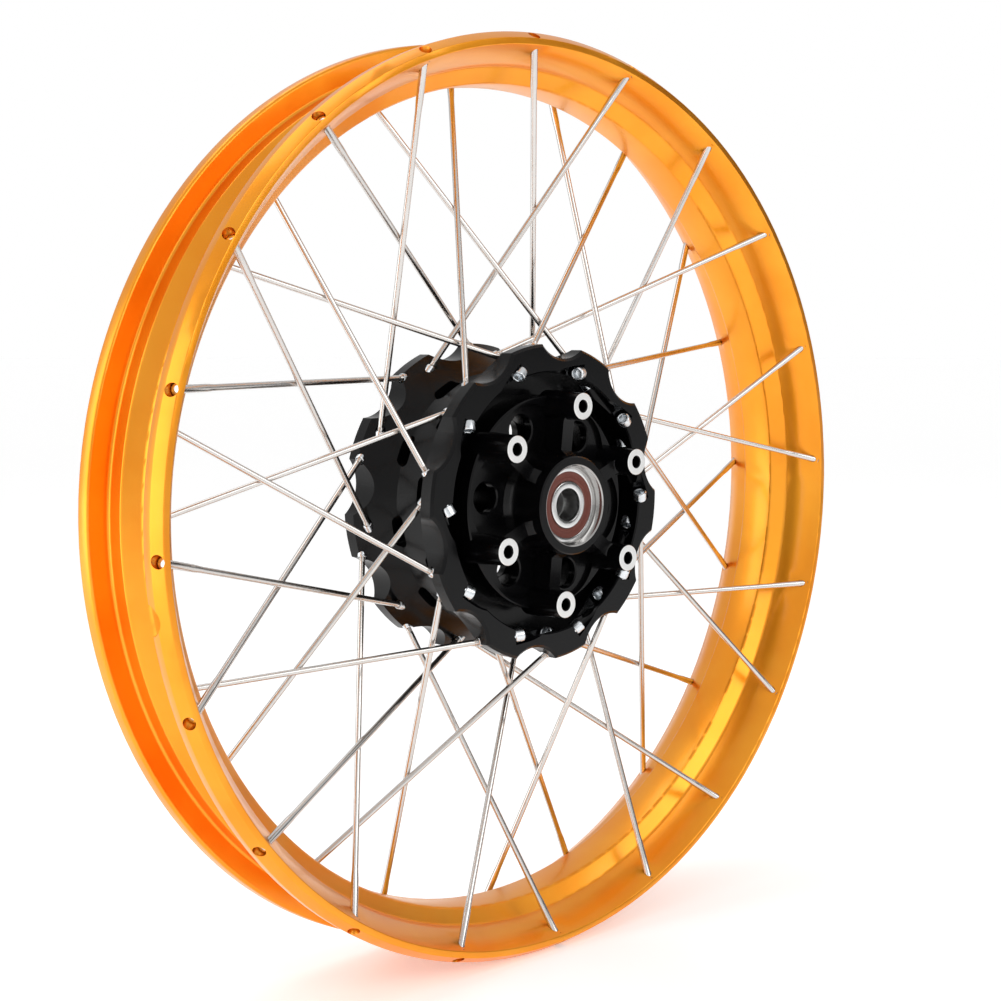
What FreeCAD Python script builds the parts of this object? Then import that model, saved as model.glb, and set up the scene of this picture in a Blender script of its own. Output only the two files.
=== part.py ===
import FreeCAD, Part
import math
import os
import Sketcher
from FreeCAD import Placement, Rotation, Vector

# Spoked front wheel of a motorcycle, rim size 21 x 2.15, in millimetres.
# The origin is the centre of the wheel, +Y runs along the axle, +Z is up.
# Names with "left" are on the -Y side and names with "right" on the +Y side.
# Every spoke runs from the lip on one side of the rim to the hub flange on the other side.

SIZES = [
    # rim section, radii from the axle and half widths from the middle plane
    ("rim_radius", 281.5), ("flange_height", 14.0), ("wall_half", 27.3), ("wall_draft", 0.3),
    ("flange_edge_half", 34.8), ("lip_half", 41.1), ("lip_drop", 4.0), ("lip_face", 3.8),
    ("seat_inner_half", 18.2), ("seat_drop", 0.8), ("hump_half", 16.7), ("hump_rise", 0.7),
    ("well_top_half", 15.4), ("well_half", 10.0), ("well_depth", 24.5), ("well_thick", 3.7),
    ("seat_thick", 3.0), ("under_inner_half", 17.9), ("under_outer_half", 26.9),
    ("under_well_half", 12.0),
    ("big_round", 3.0), ("edge_round", 2.0), ("small_round", 0.8),
    ("valve_radius", 4.15), ("valve_start", 240.0), ("valve_end", 265.0),
    ("notch_radius", 9.5), ("notch_half", 22.0), ("notch_circle", 279.0), ("notch_back", 3.0),
    ("notch_front", 20.0),
    # lacing: forty straight spokes in four sets of ten
    ("set_count", 10), ("lace_offset", 76.3), ("rim_hole_radius", 279.5), ("rim_hole_half", 37.95),
    ("hub_ref_radius", 90.0), ("outer_row", 34.0), ("inner_row", 25.8),
    ("rim_bore", 2.4), ("rim_counterbore", 3.6), ("counterbore_depth", 6.4),
    ("hole_inward", 25.0), ("hole_outward", 8.0),
    # spoke
    ("shank_radius", 1.85), ("butt_radius", 2.2), ("butt_length", 22.0), ("head_radius", 3.4),
    ("head_height", 3.6), ("head_dome", 1.2), ("thread_radius", 1.95), ("thread_start", 40.0),
    ("outer_thread", 24.0), ("inner_thread", 16.0),
    # nipple, measured along the spoke from its nearest point to the axle
    ("nipple_start", 31.0), ("nipple_head_radius", 4.2), ("nipple_head_length", 6.0),
    ("nipple_radius", 2.9), ("outer_nipple", 30.0), ("inner_nipple", 22.0), ("nipple_bore", 2.0),
    ("socket_radius", 2.9), ("socket_depth", 3.6),
    # hub flanges and drum
    ("lobe_radius", 97.0), ("flange_front", 40.8), ("flange_back", 30.0), ("flange_edge", 1.6),
    ("drum_radius", 79.0), ("drum_half", 11.5), ("drum_inner", 73.0), ("valley_radius", 88.5),
    ("scallop_radius", 24.0), ("scallop_start", 6.0), ("scallop_end", 50.0),
    ("trench_outer", 80.0), ("trench_inner", 65.5), ("trench_floor", 20.0), ("floor_thick", 6.0),
    ("pocket_radius", 5.2), ("nipple_hole", 3.1), ("pocket_end", 8.0), ("nipple_hole_end", 85.0),
    ("mouth_depth", 12.0), ("mouth_length", 29.0), ("pocket_width", 10.4),
    # hub centre
    ("web_front", 37.3), ("web_back", 28.5),
    ("petal_radius", 27.8), ("petal_circle", 36.2), ("petal_depth", 2.8),
    ("housing_radius", 29.8), ("housing_half", 61.5), ("tube_radius", 27.0), ("tube_bore", 19.5),
    ("mouth_bore", 24.0), ("mouth_edge", 0.6), ("bearing_face", 55.6),
    ("window_half", 10.2), ("window_width", 7.4), ("window_length", 12.5), ("window_start", 60.0),
    ("window_depth", 24.0), ("light_hole", 9.3), ("light_circle", 49.0), ("light_edge", 0.8),
    # brake disc bosses
    ("boss_count", 6), ("disc_circle", 120.0), ("boss_face", 61.2), ("boss_radius", 7.7), ("boss_foot", 9.2),
    ("bolt_bore", 3.4), ("bolt_depth", 22.0), ("bolt_mouth", 4.3), ("arm_thick", 9.0), ("arm_front", 50.0),
    # deep groove bearings 20 x 47 x 14
    ("bearing_outer", 23.5), ("bearing_bore", 10.0), ("bearing_width", 14.0), ("ball_radius", 3.97),
    ("ball_circle", 16.75), ("groove_radius", 4.02), ("ball_count", 8), ("outer_land", 19.3),
    ("inner_land", 14.2),
    ("seal_outer", 20.2), ("seal_inner", 14.5), ("seal_thick", 1.1), ("seal_recess", 0.3),
    ("cage_inner", 15.3), ("cage_outer", 18.2), ("cage_half", 4.7), ("cage_pocket", 4.15),
    ("spacer_radius", 13.5), ("bore_edge", 0.8),
]

# Angles in degrees from +X towards +Z.
RIM_HOLE_ANGLE = 2.5
HOLE_PITCH = 18.0
BOSS_ANGLE = 83.2
VALVE_ANGLE = 188.9
# Slope of the tool notch beside the valve, sideways for each unit outwards.
NOTCH_TILT = 0.9

# Each set: sense of the lean, rim side, rim phase in hole pitches, row at the hub.
SPOKE_SETS = {
    "left_flange_trailing": (1, 1, 1, "outer_row"),
    "left_flange_leading": (-1, 1, 0, "inner_row"),
    "right_flange_trailing": (1, -1, 0, "inner_row"),
    "right_flange_leading": (-1, -1, 1, "outer_row"),
}

doc = FreeCAD.newDocument("spoked_wheel")
sheet = doc.addObject("Spreadsheet::Sheet", "Sizes")
for row, (alias, value) in enumerate(SIZES, start=1):
    sheet.set("A%d" % row, alias)
    sheet.set("B%d" % row, str(value))
    sheet.setAlias("B%d" % row, alias)
doc.recompute()


def size(alias):
    """A driving dimension, read from the sheet."""
    return float(sheet.get(alias))


def bound(text):
    """The same expression with every alias pointed at the sheet."""
    aliases = [alias for alias, value in SIZES]
    pieces = []
    word = ""
    for c in text + " ":
        if c.isalnum() or c == "_":
            word += c
            continue
        pieces.append("Sizes." + word if word in aliases else word)
        pieces.append(c)
        word = ""
    return "".join(pieces).strip()


def origin_feature(body, role):
    """One of the body's own origin planes or axes."""
    return [f for f in body.Origin.OriginFeatures if f.Role == role][0]


def new_body(name):
    """An empty body that may hold several separate solids."""
    body = doc.addObject("PartDesign::Body", name)
    body.Label = name
    body.AllowCompound = True
    return body


def profile(body, name, corners, place=Placement()):
    """A closed outline of straight runs. Each corner is a pair of expressions: radius, height."""
    sketch = body.newObject("Sketcher::SketchObject", name)
    sketch.AttachmentSupport = [(origin_feature(body, "XY_Plane"), "")]
    sketch.MapMode = "FlatFace"
    sketch.AttachmentOffset = place
    add_loop(sketch, corners)
    return sketch


def add_loop(sketch, corners):
    """Adds one closed loop of lines and ties each corner to the sheet."""
    exprs = [(bound(str(r)), bound(str(y))) for r, y in corners]
    spots = [(float(sketch.evalExpression(r)), float(sketch.evalExpression(y))) for r, y in exprs]
    first = sketch.GeometryCount
    count = len(spots)
    for i, (r, y) in enumerate(spots):
        r2, y2 = spots[(i + 1) % count]
        sketch.addGeometry(Part.LineSegment(Vector(r, y, 0), Vector(r2, y2, 0)), False)
    for i in range(count):
        sketch.addConstraint(Sketcher.Constraint("Coincident", first + i, 2, first + (i + 1) % count, 1))
    for i, (r, y) in enumerate(spots):
        for kind, value, text in (("DistanceX", r, exprs[i][0]), ("DistanceY", y, exprs[i][1])):
            index = sketch.addConstraint(Sketcher.Constraint(kind, -1, 1, first + i, 1, value))
            label = "%s_%d" % (kind[-1].lower(), first + i)
            sketch.renameConstraint(index, label)
            if any(c.isalpha() for c in text):
                sketch.setExpression("Constraints." + label, text)


def turned(body, name, sketch, cut=False):
    """A full turn of the sketch about its own vertical axis, added or cut away."""
    kind = "PartDesign::Groove" if cut else "PartDesign::Revolution"
    feature = body.newObject(kind, name)
    feature.Profile = sketch
    feature.ReferenceAxis = (sketch, ["V_Axis"])
    feature.Angle = 360
    feature.Refine = False
    body.Tip = feature
    return feature


def plate(body, name, sketch, thick):
    """The sketch padded to a plate of the given thickness."""
    feature = body.newObject("PartDesign::Pad", name)
    feature.Profile = sketch
    feature.setExpression("Length", bound(thick))
    feature.Refine = False
    body.Tip = feature
    return feature


def ring_of(body, name, feature, count):
    """The feature repeated evenly about the axle."""
    pattern = body.newObject("PartDesign::PolarPattern", name)
    pattern.Originals = [feature]
    pattern.Axis = (origin_feature(body, "Y_Axis"), [""])
    pattern.Angle = 360
    pattern.setExpression("Occurrences", bound(count))
    pattern.Refine = False
    body.Tip = pattern


def round_rings(body, name, rings, radius):
    """Rounds the circular edges of a turned shape. Each ring is given by its radius and height."""
    doc.recompute()
    base = body.Tip
    wanted = []
    for i, edge in enumerate(base.Shape.Edges, start=1):
        if not isinstance(edge.Curve, Part.Circle):
            continue
        spot = (edge.Curve.Radius, edge.Curve.Center.y)
        if any(abs(spot[0] - r) < 0.02 and abs(spot[1] - y) < 0.02 for r, y in rings):
            wanted.append("Edge%d" % i)
    fillet = body.newObject("PartDesign::Fillet", name)
    fillet.Base = (base, wanted)
    fillet.setExpression("Radius", bound(radius))
    body.Tip = fillet
    return fillet


def both_sides(rings):
    """The rings and their mirror images in the middle plane."""
    return rings + [(r, -y) for r, y in rings]


def mirrored(half):
    """A closed section from its half: the half, then its mirror image backwards."""
    return half + [(r, "-(%s)" % y) for r, y in reversed(half)]


def radial(angle):
    """Unit vector away from the axle at an angle."""
    return Vector(math.cos(math.radians(angle)), 0, math.sin(math.radians(angle)))


def around(angle):
    """Unit vector along the turn, towards a larger angle."""
    return Vector(-math.sin(math.radians(angle)), 0, math.cos(math.radians(angle)))


def frame_at(origin, x_axis, y_axis):
    """Placement whose sketch axes point along the two given directions."""
    return Placement(origin, Rotation(x_axis, y_axis, x_axis.cross(y_axis), "YXZ"))


def spoke_frame(lean, rim_side, phase, row):
    """Frame on a spoke and its length to the lip. Its origin is the spoke's nearest point to the axle,
    and its local Y runs along the spoke towards the rim."""
    offset = size("lace_offset")
    along_rim = math.sqrt(size("rim_hole_radius") ** 2 - offset**2)
    along_hub = math.sqrt(size("hub_ref_radius") ** 2 - offset**2)
    rim_angle = RIM_HOLE_ANGLE + phase * HOLE_PITCH
    foot_angle = rim_angle + lean * math.degrees(math.acos(offset / size("rim_hole_radius")))
    slope = rim_side * (size("rim_hole_half") + size(row)) / (along_rim - along_hub)
    foot = radial(foot_angle) * offset + Vector(0, -rim_side * size(row) - slope * along_hub, 0)
    along = around(foot_angle) * -lean + Vector(0, slope, 0)
    stretch = along.Length
    return frame_at(foot, radial(foot_angle), along.normalize()), along_rim * stretch


def half_plane(angle, side=1):
    """Frame in the half plane at an angle: local X away from the axle, local Y along +Y or -Y."""
    return frame_at(Vector(0, 0, 0), radial(angle), Vector(0, side, 0))


# ---- rim -------------------------------------------------------------------------------------
# One rolled and welded aluminium hoop. Its lips stand outside the tyre walls and carry the spokes,
# so the well and the bead seats have no spoke holes.

rim = new_body("rim")
seat = "rim_radius - flange_height"
rim_half = [
    ("rim_radius - well_depth - well_thick", "under_well_half"),
    (seat + " - seat_thick - 1.2", "under_inner_half"),
    (seat + " - seat_thick", "under_outer_half"),
    ("rim_radius - lip_drop - lip_face", "lip_half"),
    ("rim_radius - lip_drop", "lip_half"),
    ("rim_radius", "flange_edge_half"),
    ("rim_radius - 0.4", "wall_half - wall_draft"),
    (seat, "wall_half"),
    (seat + " - seat_drop", "seat_inner_half"),
    (seat + " - seat_drop + hump_rise", "hump_half"),
    (seat + " - seat_drop - 0.6", "well_top_half"),
    ("rim_radius - well_depth", "well_half"),
]
inner_half = list(reversed(rim_half))
turned(rim, "rim_hoop", profile(rim, "rim_section", mirrored(inner_half)))
seat_radius = size("rim_radius") - size("flange_height")
well_radius = size("rim_radius") - size("well_depth")
under_corner = seat_radius - size("seat_thick") - 1.2
round_rings(rim, "well_rounds", both_sides([
    (well_radius - size("well_thick"), size("under_well_half")),
    (under_corner, size("under_inner_half")),
    (well_radius, size("well_half")),
]), "big_round")
round_rings(rim, "flange_rounds", both_sides([
    (size("rim_radius") - 0.4, size("wall_half") - size("wall_draft")),
    (seat_radius, size("wall_half")),
]), "edge_round")
round_rings(rim, "lip_rounds", both_sides([
    (size("rim_radius") - size("lip_drop") - size("lip_face"), size("lip_half")),
    (size("rim_radius") - size("lip_drop"), size("lip_half")),
    (size("rim_radius"), size("flange_edge_half")),
    (seat_radius - size("seat_drop") + size("hump_rise"), size("hump_half")),
]), "small_round")

for set_name, (lean, rim_side, phase, row) in SPOKE_SETS.items():
    place, reach = spoke_frame(lean, rim_side, phase, row)
    hole = [
        (0, "%r - hole_inward" % reach),
        ("rim_bore", "%r - hole_inward" % reach),
        ("rim_bore", "%r - counterbore_depth" % reach),
        ("rim_counterbore", "%r - counterbore_depth" % reach),
        ("rim_counterbore", "%r + hole_outward" % reach),
        (0, "%r + hole_outward" % reach),
    ]
    groove = turned(rim, "holes_" + set_name, profile(rim, "hole_" + set_name, hole, place), cut=True)
    ring_of(rim, "ring_" + set_name, groove, "set_count")

valve_place = frame_at(Vector(0, 0, 0), around(VALVE_ANGLE), radial(VALVE_ANGLE))
valve_hole = [
    (0, "valve_start"),
    ("valve_radius", "valve_start"),
    ("valve_radius", "valve_end"),
    (0, "valve_end"),
]
turned(rim, "valve_hole", profile(rim, "valve_round", valve_hole, valve_place), cut=True)
notch_axis = (radial(VALVE_ANGLE) + Vector(0, -NOTCH_TILT, 0)).normalize()
notch_origin = radial(VALVE_ANGLE) * size("notch_circle") + Vector(0, -size("notch_half"), 0)
notch_place = frame_at(notch_origin, around(VALVE_ANGLE), notch_axis)
notch = [
    (0, "-notch_back"),
    ("notch_radius", "-notch_back"),
    ("notch_radius", "notch_front"),
    (0, "notch_front"),
]
turned(rim, "tool_notch", profile(rim, "notch_round", notch, notch_place), cut=True)

# ---- spokes and nipples ----------------------------------------------------------------------
# Straight-pull stainless spokes: head in the rim lip, thick butt, thinner shank, threaded end.
# Each screws into a plated nipple that is turned by a hex key from inside the hub flange.

for set_name, (lean, rim_side, phase, row) in SPOKE_SETS.items():
    place, reach = spoke_frame(lean, rim_side, phase, row)
    seat_at = "%r - counterbore_depth" % reach
    thread = "thread_start + " + row.replace("row", "thread")
    nipple_end = "nipple_start + " + row.replace("row", "nipple")
    spokes = new_body("spokes_" + set_name)
    outline = [
        (0, "thread_start"),
        ("thread_radius", "thread_start"),
        ("thread_radius", thread),
        ("shank_radius", thread + " + 0.6"),
        ("shank_radius", seat_at + " - butt_length - 3"),
        ("butt_radius", seat_at + " - butt_length"),
        ("butt_radius", seat_at),
        ("head_radius", seat_at),
        ("head_radius", seat_at + " + head_height - head_dome"),
        ("head_radius - 1.2", seat_at + " + head_height - 0.2"),
        (0, seat_at + " + head_height"),
    ]
    one = turned(spokes, "spoke_" + set_name, profile(spokes, "outline_" + set_name, outline, place))
    ring_of(spokes, "ten_" + set_name, one, "set_count")

    nipples = new_body("nipples_" + set_name)
    outline = [
        ("nipple_bore", "nipple_start + socket_depth - 0.4"),
        ("nipple_bore", nipple_end),
        ("nipple_radius - 0.5", nipple_end),
        ("nipple_radius", nipple_end + " - 0.8"),
        ("nipple_radius", "nipple_start + nipple_head_length"),
        ("nipple_head_radius", "nipple_start + nipple_head_length"),
        ("nipple_head_radius", "nipple_start + 0.6"),
        ("nipple_head_radius - 0.6", "nipple_start"),
        ("nipple_bore", "nipple_start"),
    ]
    one = turned(nipples, "nipple_" + set_name, profile(nipples, "round_" + set_name, outline, place))
    ring_of(nipples, "ten_" + set_name, one, "set_count")
    doc.recompute()
    key = nipples.newObject("PartDesign::SubtractivePrism", "hex_" + set_name)
    key.Polygon = 6
    key.setExpression("Circumradius", bound("socket_radius"))
    key.setExpression("Height", bound("socket_depth + 1"))
    key.AttachmentSupport = [(origin_feature(nipples, "XY_Plane"), "")]
    key.MapMode = "FlatFace"
    tip = place.multVec(Vector(0, size("nipple_start") - 1, 0))
    key.AttachmentOffset = Placement(tip, place.Rotation.multiply(Rotation(Vector(1, 0, 0), -90)))
    nipples.Tip = key
    ring_of(nipples, "ten_keys_" + set_name, key, "set_count")

# ---- hub -------------------------------------------------------------------------------------
# One black anodised billet: a drum between two lobed flanges, a web and a bearing housing at each
# end, six disc bosses on each web, and an annular trench where the nipple heads are reached.
# Six shallow round recesses overlap in each web's face, and their edges meet at the bosses.

hub = new_body("hub")
hub_half = [
    ("tube_bore", "web_front"),
    ("trench_inner - 0.8", "web_front"),
    ("trench_inner", "web_front - 0.8"),
    ("trench_inner + 0.6", "trench_floor"),
    ("trench_outer", "trench_floor"),
    ("trench_outer", "flange_front - 0.8"),
    ("trench_outer + 0.8", "flange_front"),
    ("lobe_radius - flange_edge", "flange_front"),
    ("lobe_radius", "flange_front - flange_edge"),
    ("lobe_radius", "flange_back + 1"),
    ("lobe_radius - 1", "flange_back"),
    ("drum_radius + 3", "drum_half + 3"),
    ("drum_radius", "drum_half"),
]
cavity_half = [
    ("drum_inner", "trench_floor - floor_thick"),
    ("trench_inner - 7", "trench_floor - floor_thick"),
    ("trench_inner - 7", "web_back"),
    ("tube_radius + 5", "web_back"),
    ("tube_radius", "web_back - 6"),
]
section = profile(hub, "hub_section", mirrored(hub_half))
add_loop(section, mirrored(cavity_half))
turned(hub, "hub_turned", section)
doc.recompute()

FLANGE_SIDES = {"left": -1, "right": 1}
lobe_angle = {
    "left": RIM_HOLE_ANGLE + 1.5 * HOLE_PITCH,
    "right": RIM_HOLE_ANGLE + 0.5 * HOLE_PITCH,
}


def round_cut(body, name, radius, start, end, place):
    """A round hole along the local Y of the placement."""
    rectangle = [(0, start), (radius, start), (radius, end), (0, end)]
    return turned(body, name, profile(body, name + "_outline", rectangle, place), cut=True)


def slot_cut(body, name, length, width, depth, place):
    """A slot with round ends, cut against the placement's local Z. Its origin is the middle of the slot, and
    the length, along local X, is the distance between the centres of its ends."""
    sketch = body.newObject("Sketcher::SketchObject", name + "_outline")
    sketch.AttachmentSupport = [(origin_feature(body, "XY_Plane"), "")]
    sketch.MapMode = "FlatFace"
    sketch.AttachmentOffset = place
    half = size(length) / 2
    radius = size(width) / 2
    right_end = Part.Circle(Vector(half, 0, 0), Vector(0, 0, 1), radius)
    left_end = Part.Circle(Vector(-half, 0, 0), Vector(0, 0, 1), radius)
    sketch.addGeometry([
        Part.LineSegment(Vector(-half, -radius, 0), Vector(half, -radius, 0)),
        Part.ArcOfCircle(right_end, -math.pi / 2, math.pi / 2),
        Part.LineSegment(Vector(half, radius, 0), Vector(-half, radius, 0)),
        Part.ArcOfCircle(left_end, math.pi / 2, 1.5 * math.pi),
    ], False)
    for i in range(4):
        sketch.addConstraint(Sketcher.Constraint("Tangent", i, 2, (i + 1) % 4, 1))
    sketch.addConstraint(Sketcher.Constraint("Equal", 1, 3))
    sketch.addConstraint(Sketcher.Constraint("PointOnObject", 1, 3, -1))
    sketch.addConstraint(Sketcher.Constraint("PointOnObject", 3, 3, -1))
    ends = ((Sketcher.Constraint("DistanceX", -1, 1, 1, 3, half), "right_end", length + " / 2"),
            (Sketcher.Constraint("DistanceX", 3, 3, -1, 1, half), "left_end", length + " / 2"),
            (Sketcher.Constraint("Radius", 1, radius), "end_radius", width + " / 2"))
    for constraint, label, text in ends:
        sketch.renameConstraint(sketch.addConstraint(constraint), label)
        sketch.setExpression("Constraints." + label, bound(text))
    feature = body.newObject("PartDesign::Pocket", name)
    feature.Profile = sketch
    feature.setExpression("Length", bound(depth))
    feature.Refine = False
    body.Tip = feature
    return feature


for side_name, side in FLANGE_SIDES.items():
    # Round recesses in the web, and the bearing housing that stands in the middle of them.
    hole_angle = BOSS_ANGLE + 30
    middle = radial(hole_angle) * size("petal_circle")
    place = frame_at(middle, radial(hole_angle), Vector(0, side, 0))
    name = side_name + "_petal"
    cut = round_cut(hub, name, "petal_radius", "web_front - petal_depth", "web_front + 1", place)
    ring_of(hub, name + "s", cut, "boss_count")
    housing = [
        ("tube_bore", "web_back + 2"),
        ("tube_bore", "bearing_face - bearing_width"),
        ("bearing_outer", "bearing_face - bearing_width"),
        ("bearing_outer", "bearing_face"),
        ("mouth_bore", "bearing_face"),
        ("mouth_bore", "housing_half - mouth_edge"),
        ("mouth_bore + mouth_edge", "housing_half"),
        ("housing_radius - 0.8", "housing_half"),
        ("housing_radius", "housing_half - 0.8"),
        ("housing_radius + 1.0", "web_front + 3"),
        ("housing_radius + 4.5", "web_front - petal_depth"),
        ("housing_radius + 4.5", "web_back + 2"),
    ]
    place = half_plane(0, side)
    name = side_name + "_housing"
    turned(hub, name, profile(hub, name + "_section", housing, place))

    # Ten scallops between the lobes.
    valley = lobe_angle[side_name] + HOLE_PITCH
    centre = radial(valley) * (size("valley_radius") + size("scallop_radius"))
    place = frame_at(centre, radial(valley), Vector(0, side, 0))
    scoop = [
        (0, "scallop_start"),
        ("scallop_radius", "scallop_start"),
        ("scallop_radius", "flange_front - flange_edge"),
        ("scallop_radius + flange_edge", "flange_front"),
        ("scallop_radius + flange_edge", "scallop_end"),
        (0, "scallop_end"),
    ]
    cut = turned(hub, side_name + "_scallop", profile(hub, side_name + "_scoop", scoop, place), cut=True)
    ring_of(hub, side_name + "_scallops", cut, "set_count")

    # Radial arms, and a disc boss with a tapped hole at the end of each.
    arm_outline = [
        ("housing_radius - 2", "web_back + 2"),
        ("disc_circle / 2", "web_back + 2"),
        ("disc_circle / 2", "arm_front + 4"),
        ("disc_circle / 2 - boss_radius - 2", "arm_front"),
        ("housing_radius + 3", "arm_front"),
        ("housing_radius - 0.5", "arm_front + 5"),
        ("housing_radius - 2", "arm_front + 5"),
    ]
    arm_place = half_plane(BOSS_ANGLE, side)
    arm_place.Base = arm_place.Rotation.multVec(Vector(0, 0, -size("arm_thick") / 2))
    outline = profile(hub, side_name + "_arm_outline", arm_outline, arm_place)
    arm = plate(hub, side_name + "_arm", outline, "arm_thick")
    ring_of(hub, side_name + "_arms", arm, "boss_count")
    centre = radial(BOSS_ANGLE) * (size("disc_circle") / 2)
    boss_place = frame_at(centre, radial(BOSS_ANGLE), Vector(0, side, 0))
    post = [
        (0, "web_back + 2"),
        ("boss_foot", "web_back + 2"),
        ("boss_foot", "web_front + 4"),
        ("boss_radius + 0.5", "boss_face - 0.5"),
        ("boss_radius", "boss_face"),
        (0, "boss_face"),
    ]
    boss = turned(hub, side_name + "_boss", profile(hub, side_name + "_boss_outline", post, boss_place))
    ring_of(hub, side_name + "_bosses", boss, "boss_count")
    tapped = [
        (0, "boss_face - bolt_depth"),
        ("bolt_bore", "boss_face - bolt_depth"),
        ("bolt_bore", "boss_face - (bolt_mouth - bolt_bore)"),
        ("bolt_mouth", "boss_face"),
        ("bolt_mouth", "boss_face + 1"),
        (0, "boss_face + 1"),
    ]
    outline = profile(hub, side_name + "_bolt_outline", tapped, boss_place)
    cut = turned(hub, side_name + "_bolt", outline, cut=True)
    ring_of(hub, side_name + "_bolts", cut, "boss_count")

    # Lightening holes in the web, between the arms.
    hole_place = frame_at(radial(hole_angle) * size("light_circle"), radial(hole_angle), Vector(0, side, 0))
    bored = [
        (0, "web_back - 2"),
        ("light_hole", "web_back - 2"),
        ("light_hole", "web_front - petal_depth - light_edge"),
        ("light_hole + light_edge", "web_front - petal_depth"),
        ("light_hole + light_edge", "web_front + 1"),
        (0, "web_front + 1"),
    ]
    outline = profile(hub, side_name + "_light_outline", bored, hole_place)
    cut = turned(hub, side_name + "_light", outline, cut=True)
    ring_of(hub, side_name + "_lights", cut, "boss_count")

    # Windows through the drum, one below each lobe.
    window_angle = lobe_angle[side_name]
    middle = radial(window_angle) * size("window_start") + Vector(0, side * size("window_half"), 0)
    window_place = frame_at(middle, around(window_angle), Vector(0, 1, 0))
    name = side_name + "_window"
    window = slot_cut(hub, name, "window_length", "window_width", "window_depth", window_place)
    ring_of(hub, name + "s", window, "set_count")

# Nipple holes with a seat for the head and a pocket that is open to the trench.
for set_name, (lean, rim_side, phase, row) in SPOKE_SETS.items():
    place, reach = spoke_frame(lean, rim_side, phase, row)
    stepped = [
        (0, "pocket_end"),
        ("pocket_radius", "pocket_end"),
        ("pocket_radius", "nipple_start + nipple_head_length"),
        ("nipple_hole", "nipple_start + nipple_head_length"),
        ("nipple_hole", "nipple_hole_end"),
        (0, "nipple_hole_end"),
    ]
    cut = turned(hub, "seat_" + set_name, profile(hub, "seat_outline_" + set_name, stepped, place), cut=True)
    ring_of(hub, "seats_" + set_name, cut, "set_count")
    if row == "outer_row":
        # The outer row's pockets are also open to the front of the flange.
        to_front = place.Rotation.inverted().multVec(Vector(0, -rim_side, 0)).z
        sense = math.copysign(1, to_front)
        seat_at = size("nipple_start") + size("nipple_head_length")
        middle = place.multVec(Vector(0, seat_at, sense * size("mouth_depth") / 2))
        across = place.Rotation.multVec(Vector(0, 0, sense))
        mouth_place = frame_at(middle, across, place.Rotation.multVec(Vector(sense, 0, 0)))
        name = "mouth_" + set_name
        mouth = slot_cut(hub, name, "mouth_depth", "pocket_width", "mouth_length", mouth_place)
        ring_of(hub, "ten_" + name, mouth, "set_count")

# ---- bearings, seals and spacer --------------------------------------------------------------
# A sealed ball bearing at each end, its face against the housing shoulder. The spacer keeps the
# two inner rings apart on the axle.


def groove_points(start_radius, end_radius, sign):
    """Corner list along a ball groove, as a few chords of its arc, from one land to the other."""
    reach_end = math.acos((end_radius - size("ball_circle")) / size("groove_radius") * sign)
    steps = 8
    points = []
    for i in range(steps + 1):
        angle = reach_end - 2 * reach_end * i / steps
        points.append((
            "ball_circle + groove_radius * %r" % (sign * math.cos(angle)),
            "groove_radius * %r" % math.sin(angle),
        ))
    return points


def shifted(corners, middle):
    """The corners moved along the axle."""
    return [(r, "%s + (%s)" % (middle, y)) for r, y in corners]


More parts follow.
